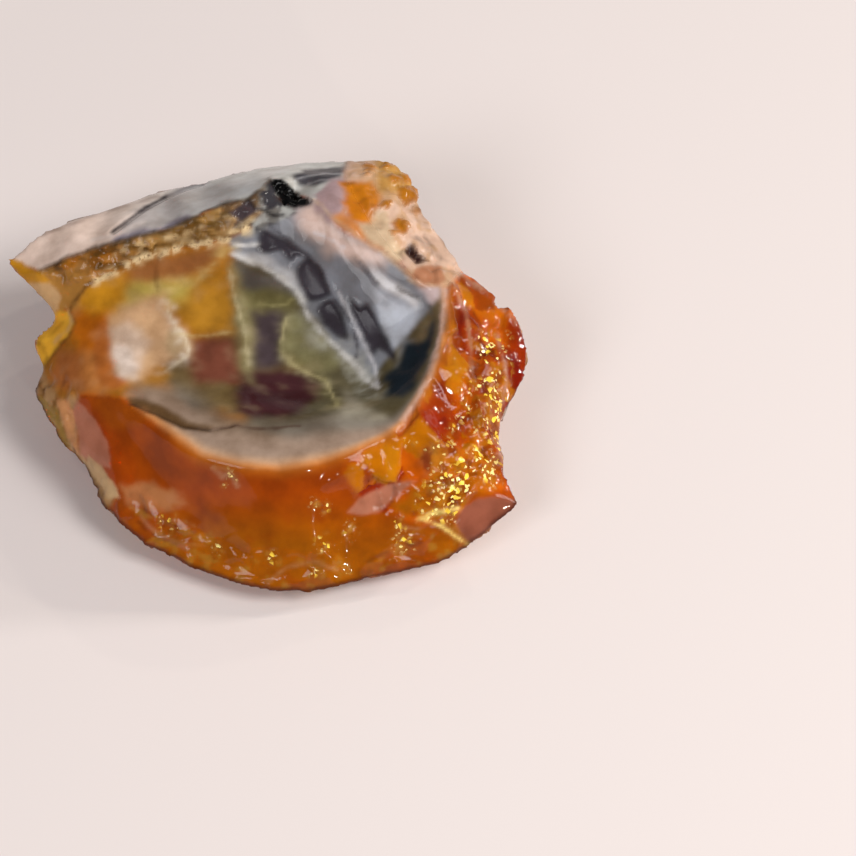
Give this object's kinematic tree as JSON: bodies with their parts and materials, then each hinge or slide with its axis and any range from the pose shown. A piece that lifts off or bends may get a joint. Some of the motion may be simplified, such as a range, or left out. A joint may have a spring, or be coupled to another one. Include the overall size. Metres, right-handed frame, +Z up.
{
  "type": "rough opal stone",
  "caption": "Rough piece of amber opal with a smooth glassy hollow, pale rim and broken sides, resting on a flat break.",
  "frame": {"origin": "centre of the bounding box's bottom, on the surface that the stone rests on", "axes": "+X along the stone's longest side, +Y away from the hollow's low front rim, +Z up"},
  "size_m": [0.0474, 0.0414, 0.017],
  "materials": {
    "opal": "translucent amber opal with glassy breaks, milky and grey zones in the hollow and a cream rim"
  },
  "bodies": {
    "root": {"rough_opal": "opal"}
  },
  "joints": []
}
